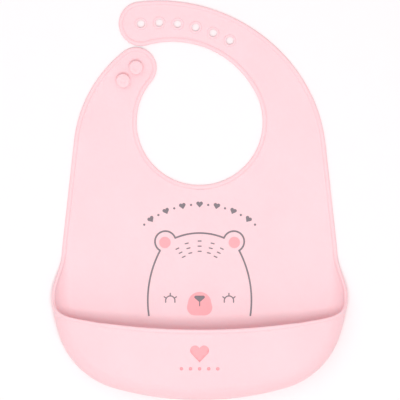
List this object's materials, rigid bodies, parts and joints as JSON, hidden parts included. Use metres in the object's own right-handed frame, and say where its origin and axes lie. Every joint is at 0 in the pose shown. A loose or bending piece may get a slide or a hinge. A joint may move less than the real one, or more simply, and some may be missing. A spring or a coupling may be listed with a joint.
{
  "type": "silicone bib",
  "caption": "Soft silicone baby bib with a moulded catch pocket along the bottom, a bear face print, a strap with adjustment holes and a stud tab behind the neck.",
  "frame": {"origin": "middle of the overall outline, on the surface the bib lies on", "axes": "+Y from the pocket towards the neck, +Z out of the front of the bib, +X to the right as the front is seen with the neck up"},
  "size_m": [0.23, 0.31, 0.0384],
  "materials": {
    "silicone": "soft matte",
    "ink_grey": "matte print",
    "ink_coral": "matte print"
  },
  "bodies": {
    "panel": {"front_panel": "silicone", "side_bead_left": "silicone", "side_bead_right": "silicone", "fold_band": "silicone", "pocket_trough": "silicone", "pocket_front": "silicone", "ear_bead_left": "silicone", "ear_bead_right": "silicone", "print_head_outline": "ink_grey", "print_ear_patches": "ink_coral", "print_brow_marks": "ink_grey", "print_eyes": "ink_grey", "print_nose": "ink_grey", "print_muzzle": "ink_coral", "print_garland": "ink_grey", "pocket_heart": "ink_coral", "pocket_dots": "ink_coral"},
    "mouth": {"pocket_lip": "silicone"},
    "yoke": {"neck_yoke": "silicone", "neck_bead": "silicone", "yoke_bead_left": "silicone", "yoke_bead_right": "silicone", "shoulder_band": "silicone", "tab_band": "silicone"},
    "strap": {"strap_shoulder": "silicone", "strap_bead_inner": "silicone", "strap_bead_outer": "silicone", "nape_band": "silicone"},
    "strap_tip": {"strap_end": "silicone", "strap_end_bead": "silicone", "hole_collar_1": "silicone", "hole_collar_2": "silicone", "hole_collar_3": "silicone", "hole_collar_4": "silicone", "hole_collar_5": "silicone", "hole_collar_6": "silicone"},
    "tab": {"stud_tab": "silicone", "stud_tab_bead": "silicone", "stud_1": "silicone", "stud_2": "silicone"}
  },
  "joints": [
    {"name": "pocket_mouth_swing", "type": "hinge", "parent": "panel", "child": "mouth", "pos_m": [0, -0.07756, 0.014], "axis": [1, 0, 0], "range_deg": [-20, 40], "stiffness_Nm_per_rad": 0.02, "deforming": ["pocket_front", "pocket_heart", "pocket_dots"]},
    {"name": "yoke_fold", "type": "hinge", "parent": "panel", "child": "yoke", "pos_m": [0, 0.004, 0.0009], "axis": [1, 0, 0], "range_deg": [-60, 120], "stiffness_Nm_per_rad": 0.04, "deforming": ["fold_band"]},
    {"name": "shoulder_flex", "type": "hinge", "parent": "yoke", "child": "strap", "pos_m": [0, 0.0605, 0.0009], "axis": [0.9511, 0.309, 0], "range_deg": [-75, 20], "stiffness_Nm_per_rad": 0.01, "deforming": ["shoulder_band"]},
    {"name": "nape_flex", "type": "hinge", "parent": "strap", "child": "strap_tip", "pos_m": [0, 0.0605, 0.0009], "axis": [0.5213, 0.8533, 0], "range_deg": [-70, 20], "stiffness_Nm_per_rad": 0.01, "deforming": ["nape_band"]},
    {"name": "tab_flex", "type": "hinge", "parent": "yoke", "child": "tab", "pos_m": [0, 0.0605, 0.0009], "axis": [-0.9693, 0.2459, 0], "range_deg": [-20, 75], "stiffness_Nm_per_rad": 0.008, "deforming": ["tab_band"]}
  ]
}
